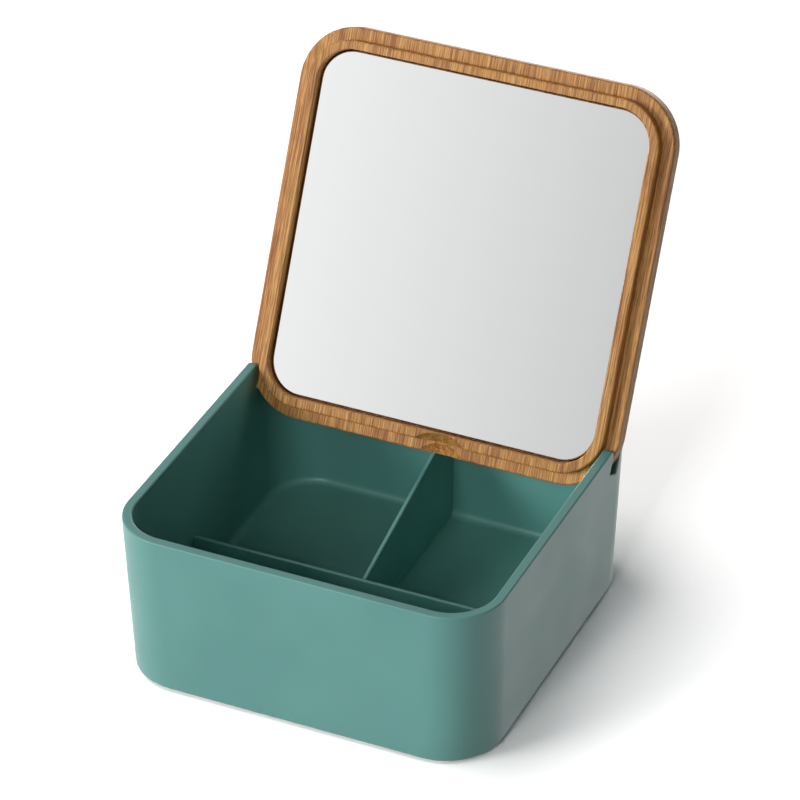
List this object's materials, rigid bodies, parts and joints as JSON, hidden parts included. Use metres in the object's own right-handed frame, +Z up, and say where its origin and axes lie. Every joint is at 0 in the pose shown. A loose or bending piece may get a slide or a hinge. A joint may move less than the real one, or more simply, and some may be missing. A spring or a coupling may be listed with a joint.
{
  "type": "vanity box with mirror",
  "caption": "Square desktop vanity box with three open compartments and a lift-off wooden lid that carries a mirror and stands in slots at the rear.",
  "frame": {"origin": "middle of the flat underside that the box stands on", "axes": "+Z up, the front of the box faces -Y, +X to the right; the box is symmetric about X but for the finger notch"},
  "size_m": [0.1518, 0.1886, 0.1865],
  "materials": {
    "teal_plastic": "satin moulded plastic, muted teal green",
    "lid_wood": "smooth oiled hardwood or bamboo, warm brown, grain along the lid's height",
    "mirror_silver": "silvered flat glass with a polished bevel",
    "black_foam": "thin black adhesive foam sheet"
  },
  "bodies": {
    "box": {"box_body": "teal_plastic", "cross_divider": "teal_plastic", "long_divider": "teal_plastic"},
    "lid": {"lid_board": "lid_wood", "mirror_glass": "mirror_silver", "mirror_tape": "black_foam"}
  },
  "joints": [
    {"name": "lid_lift", "type": "slide", "parent": "box", "child": "lid", "axis": [0, 0.4321, 0.9018], "range_m": [0, 0.03]}
  ]
}
